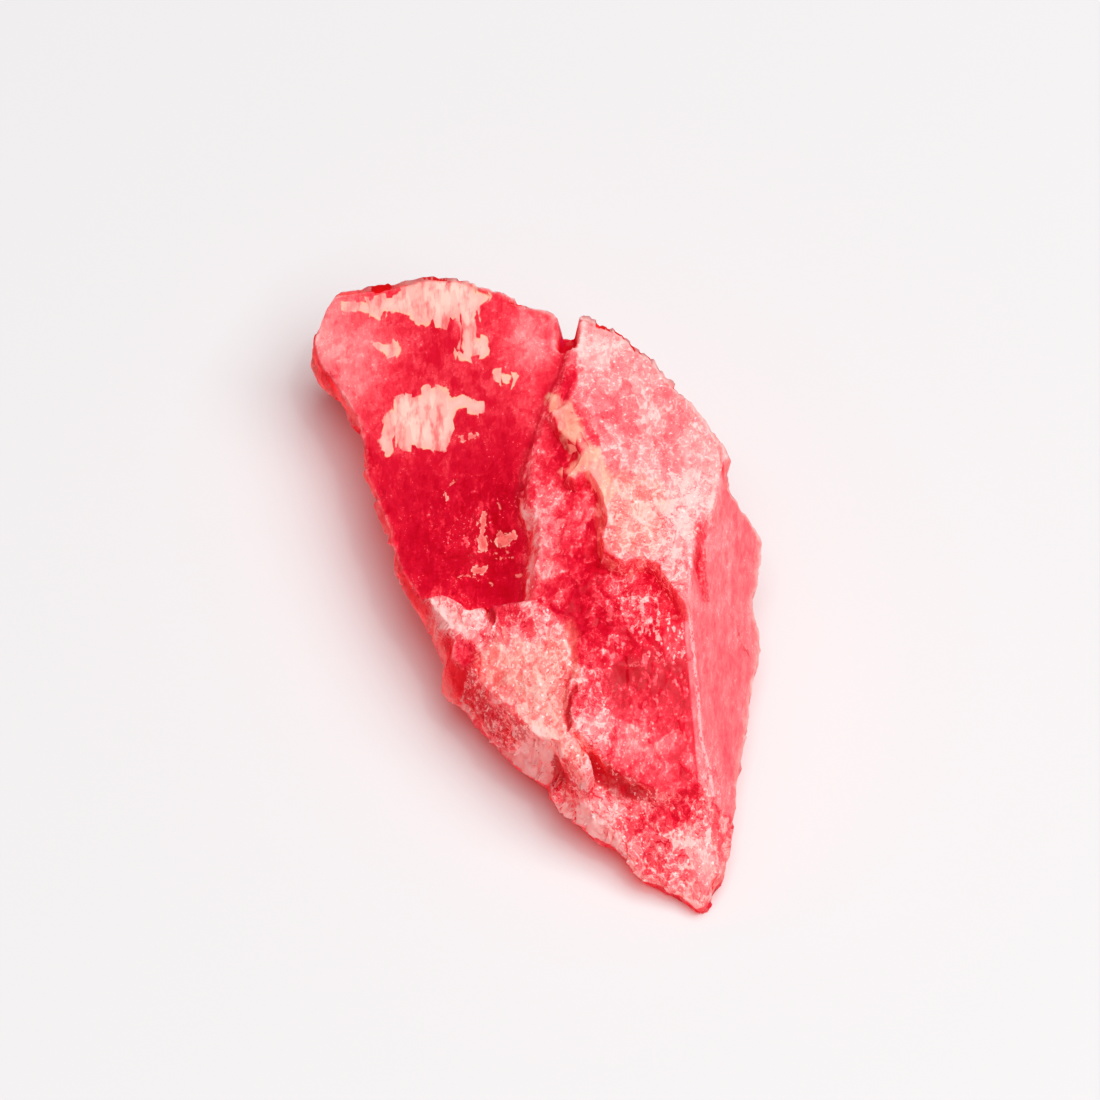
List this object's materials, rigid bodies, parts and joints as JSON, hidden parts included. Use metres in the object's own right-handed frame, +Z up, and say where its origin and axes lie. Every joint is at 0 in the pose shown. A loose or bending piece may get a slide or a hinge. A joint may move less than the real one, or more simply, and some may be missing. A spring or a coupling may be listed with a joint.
{
  "type": "rough rhodonite",
  "caption": "Rough translucent red rhodonite with broken ledges, a bowl-shaped plate, a smooth sloping back and a pointed end, lying on its broad base.",
  "frame": {"origin": "middle of the stone's bounding box in plan, on the surface that the stone lies on", "axes": "+X along the stone from its blunt end to its point, +Y from the low front edge to the high back edge, +Z up"},
  "size_m": [0.0434, 0.02, 0.0109],
  "materials": {
    "rhodonite": "translucent red rhodonite with glossy cleavage faces, frosty broken edges and cream patches"
  },
  "bodies": {
    "root": {"rhodonite": "rhodonite"}
  },
  "joints": []
}
